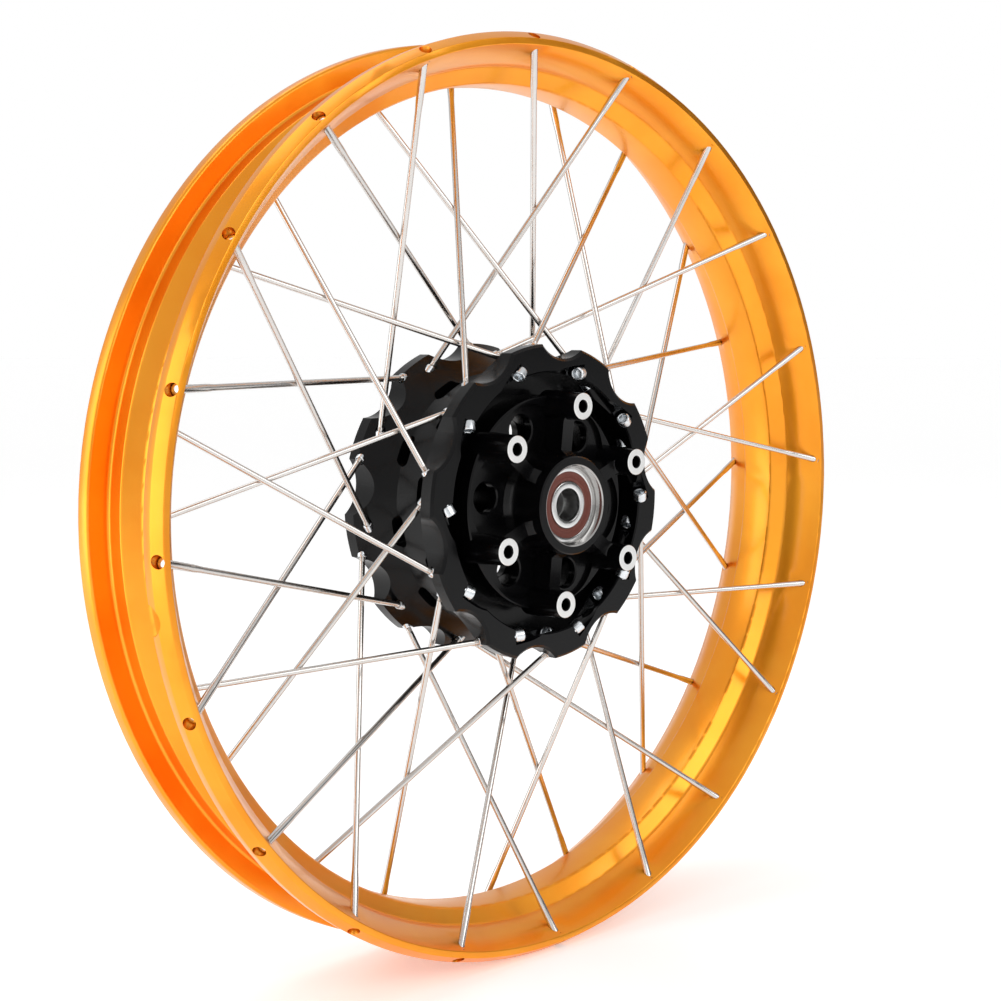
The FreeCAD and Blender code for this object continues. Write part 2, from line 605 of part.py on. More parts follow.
for side_name, side in FLANGE_SIDES.items():
    middle = "%d * (bearing_face - bearing_width / 2)" % side

    outer_ring = new_body(side_name + "_bearing_outer_ring")
    outline = [
        ("bearing_outer", "-bearing_width / 2"),
        ("bearing_outer", "bearing_width / 2"),
        ("seal_outer", "bearing_width / 2"),
        ("seal_outer", "bearing_width / 2 - seal_thick - seal_recess"),
        ("outer_land", "bearing_width / 2 - seal_thick - seal_recess"),
    ]
    outline += groove_points(size("outer_land"), size("outer_land"), 1)
    outline += [
        ("outer_land", "-(bearing_width / 2 - seal_thick - seal_recess)"),
        ("seal_outer", "-(bearing_width / 2 - seal_thick - seal_recess)"),
        ("seal_outer", "-bearing_width / 2"),
    ]
    turned(outer_ring, side_name + "_outer_turned",
           profile(outer_ring, side_name + "_outer_section", shifted(outline, middle)))

    inner_ring = new_body(side_name + "_bearing_inner_ring")
    outline = [
        ("bearing_bore", "-bearing_width / 2 + bore_edge"),
        ("bearing_bore + bore_edge", "-bearing_width / 2"),
        ("inner_land", "-bearing_width / 2"),
    ]
    outline += list(reversed(groove_points(size("inner_land"), size("inner_land"), -1)))
    outline += [
        ("inner_land", "bearing_width / 2"),
        ("bearing_bore + bore_edge", "bearing_width / 2"),
        ("bearing_bore", "bearing_width / 2 - bore_edge"),
    ]
    turned(inner_ring, side_name + "_inner_turned",
           profile(inner_ring, side_name + "_inner_section", shifted(outline, middle)))

    centre_y = side * (size("bearing_face") - size("bearing_width") / 2)
    ball_place = frame_at(Vector(size("ball_circle"), centre_y, 0), Vector(1, 0, 0), Vector(0, 1, 0))
    balls = new_body(side_name + "_bearing_balls")
    ball = balls.newObject("PartDesign::AdditiveSphere", side_name + "_ball")
    ball.setExpression("Radius", bound("ball_radius"))
    ball.AttachmentSupport = [(origin_feature(balls, "XY_Plane"), "")]
    ball.MapMode = "FlatFace"
    ball.AttachmentOffset = ball_place
    balls.Tip = ball
    ring_of(balls, side_name + "_ball_ring", ball, "ball_count")

    cage = new_body(side_name + "_bearing_cage")
    outline = [
        ("cage_inner", "-cage_half"),
        ("cage_outer", "-cage_half"),
        ("cage_outer", "cage_half"),
        ("cage_inner", "cage_half"),
    ]
    turned(cage, side_name + "_cage_turned",
           profile(cage, side_name + "_cage_section", shifted(outline, middle)))
    pocket_place = frame_at(Vector(0, centre_y, 0), Vector(0, 1, 0), Vector(1, 0, 0))
    pocket = round_cut(cage, side_name + "_cage_pocket", "cage_pocket", 10, 24, pocket_place)
    ring_of(cage, side_name + "_cage_pockets", pocket, "ball_count")

    for face_name, face in (("outer", side), ("inner", -side)):
        seal = new_body("%s_bearing_%s_seal" % (side_name, face_name))
        outline = [
            ("seal_inner", "bearing_width / 2 - seal_recess - seal_thick"),
            ("seal_outer", "bearing_width / 2 - seal_recess - seal_thick"),
            ("seal_outer", "bearing_width / 2 - seal_recess"),
            ("seal_inner", "bearing_width / 2 - seal_recess"),
        ]
        placed = [(r, "%d * (%s)" % (face, y)) for r, y in outline]
        turned(seal, "%s_%s_seal_turned" % (side_name, face_name),
               profile(seal, "%s_%s_seal_section" % (side_name, face_name), shifted(placed, middle)))

spacer = new_body("axle_spacer")
outline = [
    ("bearing_bore", "bearing_width - bearing_face"),
    ("spacer_radius", "bearing_width - bearing_face"),
    ("spacer_radius", "bearing_face - bearing_width"),
    ("bearing_bore", "bearing_face - bearing_width"),
]
turned(spacer, "spacer_tube", profile(spacer, "spacer_section", outline))

# Only each body's last feature joins faces that lie in one surface, which keeps the build short.
bodies = [obj for obj in doc.Objects if obj.TypeId == "PartDesign::Body"]
for body in bodies:
    body.Tip.Refine = True
doc.recompute()

# ---- checks and files ------------------------------------------------------------------------

os.makedirs("parts", exist_ok=True)
failed = [obj.Name for obj in doc.Objects if "Invalid" in obj.State or "Error" in obj.State]
if failed:
    raise RuntimeError("objects that failed: " + ", ".join(failed))
for body in bodies:
    if body.Shape.isNull() or not body.Shape.isValid():
        raise RuntimeError("bad shape: " + body.Label)
for body in bodies:
    body.Shape.exportStep("parts/%s.step" % body.Label)
    print("%-34s solids %3d  volume %10.1f" % (body.Label, len(body.Shape.Solids), body.Shape.Volume))
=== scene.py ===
import math

import bpy
import numpy as np
from mathutils import Matrix, Vector


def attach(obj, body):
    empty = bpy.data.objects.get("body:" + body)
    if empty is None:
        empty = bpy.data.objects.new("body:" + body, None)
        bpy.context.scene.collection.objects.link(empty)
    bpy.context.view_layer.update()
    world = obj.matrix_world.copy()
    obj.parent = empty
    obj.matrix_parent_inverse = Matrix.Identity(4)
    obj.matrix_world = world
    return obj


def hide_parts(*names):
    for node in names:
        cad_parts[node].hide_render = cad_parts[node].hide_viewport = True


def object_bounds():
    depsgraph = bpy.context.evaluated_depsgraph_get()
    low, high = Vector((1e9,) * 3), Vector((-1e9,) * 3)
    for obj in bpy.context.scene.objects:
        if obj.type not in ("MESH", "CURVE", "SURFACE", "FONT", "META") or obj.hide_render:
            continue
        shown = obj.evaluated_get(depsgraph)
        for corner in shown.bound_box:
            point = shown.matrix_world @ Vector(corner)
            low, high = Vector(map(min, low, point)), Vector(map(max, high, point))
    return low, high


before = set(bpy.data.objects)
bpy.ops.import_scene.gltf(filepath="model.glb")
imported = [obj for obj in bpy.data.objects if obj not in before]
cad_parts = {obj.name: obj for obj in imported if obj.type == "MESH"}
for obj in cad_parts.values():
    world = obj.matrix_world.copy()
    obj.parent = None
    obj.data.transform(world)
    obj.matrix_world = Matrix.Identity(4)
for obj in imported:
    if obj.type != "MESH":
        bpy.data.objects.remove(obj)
cad_low, cad_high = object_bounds()

# ---- rim ---------------------------------------------------------------------------------------
# A rolled aluminium hoop, turned all over after welding and anodised gold over a satin surface.
# The holes for the spoke heads are drilled through both lips, and the well stays airtight.


class Number:
    """A number that changes over a surface. A sum written with it adds Math nodes to its finish."""

    def __init__(self, finish, socket):
        self.finish = finish
        self.socket = socket

    def maths(self, operation, *values):
        """The node for one operation, on these values in order."""
        return self.finish.node("ShaderNodeMath", {"operation": operation}, dict(enumerate(values)))

    def __add__(self, other):
        return self.maths("ADD", self, other)

    def __sub__(self, other):
        return self.maths("SUBTRACT", self, other)

    def __mul__(self, other):
        return self.maths("MULTIPLY", self, other)

    def __rsub__(self, other):
        return self.maths("SUBTRACT", other, self)

    def __abs__(self):
        return self.maths("ABSOLUTE", self)

    __radd__ = __add__
    __rmul__ = __mul__


class Finish:
    """A material in the making. Plain values go on its shader, and node() adds the rest."""

    def __init__(self, made, shader, **surface):
        made.use_nodes = True
        self.made = made
        self.tree = made.node_tree
        self.shader = self.tree.nodes[shader]
        for socket, value in surface.items():
            self.shader.inputs[socket.replace("_", " ")].default_value = value

    def node(self, kind, settings, sockets, output=0):
        """A node of any type: its settings go on first, then the values or links of its sockets."""
        made = self.tree.nodes.new(kind)
        for name, value in settings.items():
            setattr(made, name, value)
        for name, value in sockets.items():
            if isinstance(value, Number):
                self.tree.links.new(value.socket, made.inputs[name])
            else:
                made.inputs[name].default_value = value
        return Number(self, made.outputs[output])

    def give(self, socket, value):
        """Links a varying value to a socket of the shader."""
        self.tree.links.new(value.socket, self.shader.inputs[socket])

    def spot(self):
        """Position in the wheel's own coordinates."""
        return self.node("ShaderNodeTexCoord", {}, {}, "Object")

    def place(self):
        """Position on the wheel: distance from the axle, distance along it, and turn about it."""
        parts = self.node("ShaderNodeSeparateXYZ", {}, {"Vector": self.spot()})
        x, y, z = (Number(self, parts.socket.node.outputs[i]) for i in range(3))
        square = x * x + z * z
        return square.maths("SQRT", square), y, z.maths("ARCTAN2", z, x)

    def vector(self, x, y, z):
        """Three numbers as one vector."""
        return self.node("ShaderNodeCombineXYZ", {}, {0: x, 1: y, 2: z})

    def noise(self, spot, scale, detail=2.0):
        """Cloudy noise from 0 to 1, with this many cells to a unit."""
        return self.node("ShaderNodeTexNoise", {}, {"Vector": spot, "Scale": scale, "Detail": detail})

    def step(self, value, low, high, start=0.0, end=1.0):
        """Start below low, end above high, and a smooth rise between them."""
        return self.node(
            "ShaderNodeMapRange",
            {"interpolation_type": "SMOOTHSTEP"},
            {"Value": value, "From Min": low, "From Max": high, "To Min": start, "To Max": end},
        )

    def mix(self, first, second, factor):
        """One colour turning into another as factor goes from 0 to 1."""
        return self.node(
            "ShaderNodeMix", {"data_type": "RGBA"}, {6: first, 7: second, 0: factor}, 2
        )

    def dot(self, spot, direction):
        """How far a vector points in a direction."""
        return self.node(
            "ShaderNodeVectorMath", {"operation": "DOT_PRODUCT"}, {0: spot, 1: direction}, 1
        )

    def relief(self, height, depth):
        """Small bumps, where height goes from 0 to 1 over this depth in metres."""
        self.give(
            "Normal",
            self.node("ShaderNodeBump", {}, {"Strength": 1.0, "Distance": depth, "Height": height}),
        )


def coated(name, **surface):
    """A new material with these plain values on its Principled shader."""
    return Finish(bpy.data.materials.new(name), "Principled BSDF", **surface)


def anodised_gold():
    """Gold film over satin aluminium, with the faint rings that turning leaves round the hoop."""
    gold = coated("gold_anodised", Metallic=1.0, Coat_Roughness=0.12, Coat_IOR=1.6)
    spot = gold.spot()
    radius, along, turn = gold.place()
    rings = gold.noise(gold.vector(radius * 2600, along * 2600, turn * 9), 1.0, 3.0)
    grain = gold.noise(spot, 1900.0, 2.0)
    cloud = gold.noise(spot, 22.0, 3.0)
    pale, deep = (0.96, 0.365, 0.022, 1), (0.93, 0.31, 0.014, 1)
    gold.give("Base Color", gold.mix(deep, pale, gold.step(cloud, 0.3, 0.7)))
    gold.give("Roughness", 0.27 + 0.06 * rings + 0.05 * cloud)
    gold.give("Coat Weight", 0.22 + 0.1 * cloud)
    gold.relief(0.6 * rings + 0.4 * grain, 0.000012)
    return gold.made


def merged(node):
    """A CAD node's points and triangles, with the corners that meet made one."""
    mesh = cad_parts[node].data
    points = np.empty(len(mesh.vertices) * 3)
    mesh.vertices.foreach_get("co", points)
    corners = np.empty(len(mesh.loops), int)
    mesh.loops.foreach_get("vertex_index", corners)
    points, same = np.unique(points.reshape(-1, 3).round(6), axis=0, return_inverse=True)
    faces = same.ravel()[corners].reshape(-1, 3)
    whole = (faces != np.roll(faces, 1, axis=1)).all(axis=1)
    return points, faces[whole]


def piece(name, points, faces, finish, body, slot, nodes, crease=35.0):
    """A finished piece: its mesh, smooth up to the crease angle, its material and its place."""
    mesh = bpy.data.meshes.new(name)
    mesh.from_pydata(points.tolist(), [], [face for group in faces for face in group.tolist()])
    mesh.polygons.foreach_set("use_smooth", np.ones(len(mesh.polygons), bool))
    mesh.set_sharp_from_angle(angle=math.radians(crease))
    mesh.materials.append(finish)
    made = bpy.data.objects.new(name, mesh)
    bpy.context.scene.collection.objects.link(made)
    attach(made, body)
    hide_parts(*nodes)
    return made


rim_points, rim_faces = merged("rim")
piece(
    "rim_hoop", rim_points, [rim_faces], anodised_gold(),
    "wheel", "gold_anodised", ["rim"], crease=28.0,
)

# ---- spokes ------------------------------------------------------------------------------------
# Straight-pull stainless spokes, cold drawn, with a domed head, a thicker butt and a rolled thread.
# Each runs from the lip on one side of the rim to the hub flange on the other side.

LACE_OFFSET = 0.0763
RIM_HOLE_RADIUS, RIM_HOLE_HALF = 0.2795, 0.03795
HUB_RADIUS, OUTER_ROW, INNER_ROW = 0.090, 0.0340, 0.0258
HOLE_ANGLE, HOLE_PITCH = 2.5, 18.0
SPOKES_IN_SET = 10
# Each set: sense of the lean, rim side, rim phase in hole pitches, row at the hub.
SPOKE_SETS = {
    "left_flange_trailing": (1, 1, 1, OUTER_ROW),
    "left_flange_leading": (-1, 1, 0, INNER_ROW),
    "right_flange_trailing": (1, -1, 0, INNER_ROW),
    "right_flange_leading": (-1, -1, 1, OUTER_ROW),
}


def spoke_line(lean, rim_side, phase, row):
    """A spoke's nearest point to the axle, its unit directions (out, along, across) and its length to
    the lip. Seen along the axle it touches a circle of the lace offset, and its slope along the axle
    joins the rim hole to the hub hole."""
    to_rim = math.sqrt(RIM_HOLE_RADIUS**2 - LACE_OFFSET**2)
    to_hub = math.sqrt(HUB_RADIUS**2 - LACE_OFFSET**2)
    hole = math.radians(HOLE_ANGLE + phase * HOLE_PITCH)
    angle = hole + lean * math.acos(LACE_OFFSET / RIM_HOLE_RADIUS)
    out = np.array([math.cos(angle), 0, math.sin(angle)])
    slope = rim_side * (RIM_HOLE_HALF + row) / (to_rim - to_hub)
    foot = out * LACE_OFFSET + np.array([0, -rim_side * row - slope * to_hub, 0])
    along = np.array([lean * math.sin(angle), slope, -lean * math.cos(angle)])
    stretch = np.linalg.norm(along)
    along = along / stretch
    return foot, out, along, np.cross(out, along), to_rim * stretch


def carried(rows, foot, out, along, across):
    """Rows of (distance, x, y) laid on a line: the distance along it, x outwards and y across it."""
    return foot + rows[..., :1] * along + rows[..., 1:2] * out + rows[..., 2:] * across


def repeated(points, count):
    """The points and their copies, turned evenly about the axle."""
    turn = np.arange(count) * 2 * np.pi / count
    c, s = np.cos(turn)[:, None, None], np.sin(turn)[:, None, None]
    x, y, z = points[..., 0], points[..., 1], points[..., 2]
    return np.stack([c * x - s * z, np.broadcast_to(y, (count,) + y.shape), s * x + c * z], axis=-1)


def skin(grids):
    """Points and faces of grids, each (copies, rows, columns, 3). Neighbouring rows are joined by
    quads, the last column joins the first, and a row with no width closes to one point."""
    points, quads, start = [], [], 0
    for grid in grids:
        copies, rows, columns = grid.shape[:3]
        index = start + np.arange(copies * rows * columns).reshape(copies, rows, columns)
        beside = np.roll(index, -1, axis=2)
        loops = np.stack([index[:, :-1], beside[:, :-1], beside[:, 1:], index[:, 1:]], axis=-1)
        quads.append(loops.reshape(-1, 4))
        points.append(grid.reshape(-1, 3))
        start += copies * rows * columns
    points, same = np.unique(np.concatenate(points).round(7), axis=0, return_inverse=True)
    quads = same.ravel()[np.concatenate(quads)]
    corner = points[quads]
    volume = np.einsum("ij,ij->i", corner[:, 0], np.cross(corner[:, 1], corner[:, 2]))
    volume += np.einsum("ij,ij->i", corner[:, 0], np.cross(corner[:, 2], corner[:, 3]))
    if volume.sum() < 0:
        quads = quads[:, ::-1]
    joined = quads == np.roll(quads, -1, axis=1)
    whole = ~joined.any(axis=1)
    pointed = quads[joined.sum(axis=1) == 1]
    at_first = np.argmax(pointed == np.roll(pointed, -1, axis=1), axis=1)[:, None]
    thirds = np.take_along_axis(pointed, (at_first + np.arange(1, 4)) % 4, axis=1)
    return points, [quads[whole], thirds]


def rounds(profile, columns):
    """A profile of (distance, radius) rows turned about its own line, as (rows, columns, 3)."""
    turn = np.arange(columns) * 2 * np.pi / columns
    distance, radius = np.array(profile, float).T
    grid = np.stack(np.broadcast_arrays(distance[:, None], radius[:, None], turn), axis=-1)
    return np.stack([grid[..., 0], grid[..., 1] * np.cos(turn), grid[..., 1] * np.sin(turn)], axis=-1)


SHANK, BUTT, HEAD, THREAD = 0.00185, 0.0022, 0.0034, 0.00195
SPOKE_START, THREAD_RUNOUT = 0.040, 0.0006
SWAGE_FROM_SEAT, SWAGE_LENGTH, HEAD_ROUND = 0.030, 0.009, 0.0002
SEAT_DEPTH, HEAD_HEIGHT, DOME = 0.0064, 0.0036, 0.0013
THREAD_PITCH, THREAD_DEPTH, THREAD_SHOWN = 0.0008, 0.00016, 0.006
THREAD_ENDS = {OUTER_ROW: 0.064, INNER_ROW: 0.056}
SPOKE_SIDES = 20


def spoke_rows(reach, thread_end):
    """One spoke: a smooth bar whose radius follows the swaged butt, a domed head, and a thread whose
    crest climbs one pitch in a turn, radius = mean + depth * cos(turn - 2 pi * distance / pitch)."""
    seat = reach - SEAT_DEPTH
    swage = np.linspace(0, 1, 7)
    dome = np.linspace(0, np.pi / 2, 7)
    start = thread_end - THREAD_SHOWN
    profile = [(SPOKE_START, 0.0), (SPOKE_START, THREAD - 0.0003), (start, THREAD - 0.0003)]
    threads = np.arange(start + 0.0001, thread_end, THREAD_PITCH / 4)
    profile += [(s, THREAD - THREAD_DEPTH) for s in threads]
    profile += [(thread_end + THREAD_RUNOUT, SHANK)]
    profile += [(s, SHANK) for s in np.linspace(thread_end + 0.002, seat - 0.032, 6)]
    swage_start = seat - SWAGE_FROM_SEAT
    profile += [
        (swage_start + SWAGE_LENGTH * t, SHANK + (BUTT - SHANK) * (3 - 2 * t) * t * t) for t in swage
    ]
    profile += [(seat - 0.0012, BUTT), (seat - 0.0004, BUTT + 0.0003), (seat, BUTT + 0.0008)]
    profile += [(seat, HEAD - HEAD_ROUND), (seat + HEAD_ROUND, HEAD), (seat + HEAD_HEIGHT - DOME, HEAD)]
    profile += [(seat + HEAD_HEIGHT - DOME + DOME * math.sin(t), HEAD * math.cos(t)) for t in dome[1:-1]]
    profile += [(seat + HEAD_HEIGHT, 0.0)]
    rows = rounds(profile, SPOKE_SIDES)
    turn = np.arange(SPOKE_SIDES) * 2 * np.pi / SPOKE_SIDES
    ridge = np.cos(turn - rows[..., 0] / THREAD_PITCH * 2 * np.pi)
    threaded = np.isin(rows[:, 0, 0], threads)[:, None]
    swell = 1 + threaded * ridge * THREAD_DEPTH / THREAD
    rows[..., 1:] *= swell[..., None]
    return rows


def drawn_stainless():
    """Bright stainless wire with faint draw lines and a warm heat tint in patches."""
    steel = coated("drawn_stainless", Metallic=1.0)
    spot = steel.spot()
    radius, along, turn = steel.place()
    patches = steel.noise(spot, 45.0, 2.0)
    scratches = steel.noise(steel.vector(turn * 900, along * 1200, radius * 60), 1.0, 2.0)
    steel.give("Base Color", steel.mix((0.60, 0.56, 0.52, 1), (0.68, 0.67, 0.66, 1), patches))
    steel.give("Roughness", 0.16 + 0.12 * scratches)
    steel.relief(scratches, 0.000004)
    return steel.made


spoke_finish = drawn_stainless()
for set_name, layout in SPOKE_SETS.items():
    *line, reach = spoke_line(*layout)
    spokes = repeated(carried(spoke_rows(reach, THREAD_ENDS[layout[-1]]), *line), SPOKES_IN_SET)
    piece(
        "spoke_wires_" + set_name, *skin([spokes]), spoke_finish,
        "wheel", "stainless", ["spokes_" + set_name], crease=40.0,
    )

# ---- nipples -----------------------------------------------------------------------------------
# Zinc plated steel nipples, threaded on the spoke ends. Each head bears on its seat inside the
# flange and has a socket for a hex key.

NIPPLE_START = 0.031
NIPPLE_LENGTHS = {OUTER_ROW: 0.030, INNER_ROW: 0.022}
NIPPLE_HEAD, NIPPLE_HEAD_LENGTH, NIPPLE_BODY = 0.0042, 0.006, 0.0029
SOCKET_CORNER, SOCKET_DEPTH = 0.0029, 0.0036
NIPPLE_BORE, NIPPLE_MOUTH, NIPPLE_BORE_DEPTH = 0.0021, 0.0023, 0.006
NIPPLE_SIDES = 24


def nipple_rows(length):
    """One nipple: rows of (distance along it, radius, how far its outline is a hexagon), turned about
    its line. A hexagonal row has radius = corner * cos 30 / cos(turn from the nearest flat)."""
    shoulder = NIPPLE_HEAD_LENGTH
    distance, radius, hexed = np.array([
        (SOCKET_DEPTH + 0.0006, 0.0, 0), (SOCKET_DEPTH, SOCKET_CORNER * 0.8, 0.5),
        (SOCKET_DEPTH, SOCKET_CORNER, 1), (0.0007, SOCKET_CORNER, 1),
        (0.0003, SOCKET_CORNER, 0.6), (0.0, SOCKET_CORNER + 0.0003, 0),
        (0.0, NIPPLE_HEAD - 0.0007, 0), (0.00015, NIPPLE_HEAD - 0.0003, 0), (0.0006, NIPPLE_HEAD, 0),
        (shoulder - 0.0012, NIPPLE_HEAD, 0), (shoulder - 0.0003, NIPPLE_HEAD - 0.0002, 0),
        (shoulder, NIPPLE_HEAD - 0.0005, 0), (shoulder, NIPPLE_BODY + 0.0001, 0),
        (shoulder + 0.0002, NIPPLE_BODY, 0), (length - 0.0009, NIPPLE_BODY, 0),
        (length - 0.0003, NIPPLE_BODY - 0.0002, 0), (length, NIPPLE_BODY - 0.0006, 0),
        (length, NIPPLE_MOUTH, 0), (length - 0.002, NIPPLE_BORE, 0),
        (length - NIPPLE_BORE_DEPTH, NIPPLE_BORE, 0), (length - NIPPLE_BORE_DEPTH, 0.0, 0),
    ]).T
    turn = np.arange(NIPPLE_SIDES) * 2 * np.pi / NIPPLE_SIDES
    from_flat = (turn + np.pi / 6) % (np.pi / 3) - np.pi / 6
    flat = math.cos(math.pi / 6) / np.cos(from_flat)
    reach = radius[:, None] * (1 + hexed[:, None] * (flat - 1))
    distance = np.broadcast_to(NIPPLE_START + distance[:, None], reach.shape)
    return np.stack([distance, reach * np.cos(turn), reach * np.sin(turn)], axis=-1)


def zinc_plate():
    """Bright blue-white zinc plate, slightly cloudy, with a fine crystalline grain."""
    zinc = coated("zinc_plate", Metallic=1.0)
    spot = zinc.spot()
    cloud = zinc.noise(spot, 420.0, 3.0)
    grain = zinc.noise(spot, 5200.0, 1.0)
    zinc.give("Base Color", zinc.mix((0.62, 0.66, 0.70, 1), (0.80, 0.82, 0.83, 1), cloud))
    zinc.give("Roughness", 0.2 + 0.14 * cloud)
    zinc.relief(grain, 0.000006)
    return zinc.made


nipple_finish = zinc_plate()
for set_name, layout in SPOKE_SETS.items():
    *line, reach = spoke_line(*layout)
    nipples = repeated(carried(nipple_rows(NIPPLE_LENGTHS[layout[-1]]), *line), SPOKES_IN_SET)
    piece(
        "nipple_set_" + set_name, *skin([nipples]), nipple_finish,
        "wheel", "zinc_plate", ["nipples_" + set_name], crease=32.0,
    )

# ---- hub ---------------------------------------------------------------------------------------
# Machined from one aluminium billet and anodised black. The disc bosses are faced and the bearing
# housings bored after anodising, so those surfaces are bare metal.


# Where the hub is bare: between these distances the mask goes from film to metal.
FACED_ALONG, FACED_RADIUS = (0.06085, 0.06095), (0.040, 0.0405)
BORED_ALONG, BORED_RADIUS = (0.0415, 0.0417), (0.0249, 0.0247)


def anodised_black():
    """Black film over machined aluminium with fine cutter marks, bare where it was cut afterwards."""
    black = coated("black_anodised", Specular_IOR_Level=0.18, Coat_Roughness=0.08)
    spot = black.spot()
    radius, along, turn = black.place()
    marks = black.noise(black.vector(radius * 3800, along * 3800, turn * 5), 1.0, 2.0)
    cloud = black.noise(spot, 60.0, 3.0)
    faced = black.step(abs(along), *FACED_ALONG) * black.step(radius, *FACED_RADIUS)
    bored = black.step(abs(along), *BORED_ALONG) * black.step(radius, *BORED_RADIUS)
    bare = faced.maths("MAXIMUM", faced, bored)
    film = black.mix((0.0008, 0.0008, 0.001, 1), (0.002, 0.002, 0.0024, 1), cloud)
    metal = black.mix((0.86, 0.86, 0.85, 1), (0.44, 0.43, 0.42, 1), bored)
    black.give("Base Color", black.mix(film, metal, bare))
    black.give("Metallic", bare)
    black.give("Roughness", 0.17 + 0.07 * marks + 0.05 * cloud + 0.28 * faced - 0.1 * bored)
    black.give("Coat Weight", 0.05 * (1 - bare))
    black.relief(marks, 0.000007)
    return black.made


hub_points, hub_faces = merged("hub")
piece(
    "hub_billet", hub_points, [hub_faces], anodised_black(),
    "wheel", "black_anodised", ["hub"], crease=30.0,
)

# ---- bearings ----------------------------------------------------------------------------------
# Sealed deep groove ball bearings, 20 x 47 x 14: ground steel rings, a rubber seal pressed into the
# outer ring at each face, and a moulded cage that carries the balls.

BEARING_MIDDLE, BEARING_HALF = 0.0486, 0.007
BEARING_OUTER, BEARING_BORE = 0.0235, 0.010
BALL_CIRCLE, GROOVE = 0.01675, 0.00402
OUTER_LAND, INNER_LAND = 0.0193, 0.0142
SEAL_OUTER, SEAL_INNER, SEAL_THICK, SEAL_RECESS = 0.0202, 0.0145, 0.0011, 0.0003
RING_SIDES = 160
SIDES = {"left": -1, "right": 1}


def eased(corners, cut):
    """A closed outline with each sharp corner cut to three points of a small curve of this size."""
    corners = np.array(corners, float)
    before, after = np.roll(corners, 1, axis=0) - corners, np.roll(corners, -1, axis=0) - corners
    reach_before = np.linalg.norm(before, axis=1, keepdims=True)
    reach_after = np.linalg.norm(after, axis=1, keepdims=True)
    small = np.minimum(cut, np.minimum(reach_before, reach_after) * 0.35)
    start = corners + before / reach_before * small
    end = corners + after / reach_after * small
    middle = corners * 0.5 + (start + end) * 0.25
    return np.stack([start, middle, end], axis=1).reshape(-1, 2)


def turned(outline, middle, side):
    """A closed outline of (radius, distance) turned about the axle:
    x = r cos a, y = side * (middle + d), z = r sin a."""
    outline = np.concatenate([outline, outline[:1]])
    turn = np.arange(RING_SIDES) * 2 * np.pi / RING_SIDES
    radius, distance = outline[:, :1], outline[:, 1:]
    along = side * (middle + distance) + 0 * turn
    return np.stack([radius * np.cos(turn), along, radius * np.sin(turn)], axis=-1)[None]


def groove(land, sign, steps=9):
    """Points of a ball groove from one land edge to the other:
    r = ball circle + sign * groove * cos a, distance = groove * sin a."""
    limit = math.acos(sign * (land - BALL_CIRCLE) / GROOVE)
    angle = np.linspace(limit, -limit, steps)
    return [(BALL_CIRCLE + sign * GROOVE * math.cos(a), GROOVE * math.sin(a)) for a in angle]


def ground_steel():
    """Ground and lapped bearing steel, with fine rings round the axle."""
    steel = coated("bearing_steel", Metallic=1.0)
    radius, along, turn = steel.place()
    rings = steel.noise(steel.vector(radius * 9000, along * 9000, turn * 3), 1.0, 2.0)
    steel.give("Base Color", steel.mix((0.66, 0.66, 0.66, 1), (0.78, 0.78, 0.77, 1), rings))
    steel.give("Roughness", 0.14 + 0.12 * rings)
    steel.relief(rings, 0.000003)
    return steel.made


def moulded_rubber():
    """Red-brown nitrile rubber, matt, with the fine skin of the mould."""
    rubber = coated("seal_rubber", Specular_IOR_Level=0.42)
    spot = rubber.spot()
    skin_noise = rubber.noise(spot, 3600.0, 3.0)
    cloud = rubber.noise(spot, 260.0, 2.0)
    rubber.give("Base Color", rubber.mix((0.105, 0.022, 0.014, 1), (0.15, 0.036, 0.022, 1), cloud))
    rubber.give("Roughness", 0.42 + 0.16 * skin_noise)
    rubber.relief(skin_noise, 0.00001)
    return rubber.made


ring_finish, seal_finish = ground_steel(), moulded_rubber()
step_back = BEARING_HALF - SEAL_THICK - SEAL_RECESS
outer_outline = [
    (BEARING_OUTER, -BEARING_HALF), (BEARING_OUTER, BEARING_HALF), (SEAL_OUTER, BEARING_HALF),
    (SEAL_OUTER, step_back), (OUTER_LAND, step_back), *groove(OUTER_LAND, 1),
    (OUTER_LAND, -step_back), (SEAL_OUTER, -step_back), (SEAL_OUTER, -BEARING_HALF),
]
inner_outline = [
    (BEARING_BORE, -BEARING_HALF), (INNER_LAND, -BEARING_HALF), *groove(INNER_LAND, -1)[::-1],
    (INNER_LAND, BEARING_HALF), (BEARING_BORE, BEARING_HALF),
]
# The seal's face steps down to a thin web, and its lip rides close to the inner ring.
seal_face = step_back + SEAL_THICK
seal_outline = [
    (SEAL_INNER, step_back), (SEAL_OUTER, step_back), (SEAL_OUTER, seal_face),
    (SEAL_OUTER - 0.0007, seal_face), (SEAL_OUTER - 0.0011, seal_face - 0.0004),
    (SEAL_INNER + 0.0024, seal_face - 0.0004), (SEAL_INNER + 0.0020, seal_face - 0.0001),
    (SEAL_INNER + 0.0011, seal_face - 0.0001), (SEAL_INNER + 0.0008, seal_face - 0.0005),
    (SEAL_INNER, seal_face - 0.0004),
]
for side_name, side in SIDES.items():
    label = side_name + "_bearing_"
    outer = turned(eased(outer_outline, 0.0005), BEARING_MIDDLE, side)
    piece(
        label + "outer_race", *skin([outer]), ring_finish,
        "wheel", "bearing_steel", [label + "outer_ring"],
    )
    inner = turned(eased(inner_outline, 0.0007), BEARING_MIDDLE, side)
    piece(
        label + "inner_race", *skin([inner]), ring_finish,
        "axle_sleeve", "bearing_steel", [label + "inner_ring"],
    )
    for face_name, face in (("outer", 1), ("inner", -1)):
        outline = np.array(seal_outline) * [1, face]
        seal = turned(eased(outline, 0.0002), BEARING_MIDDLE, side)
        piece(
            label + face_name + "_seal_ring", *skin([seal]), seal_finish,
            "wheel", "seal_rubber", [label + face_name + "_seal"],
        )


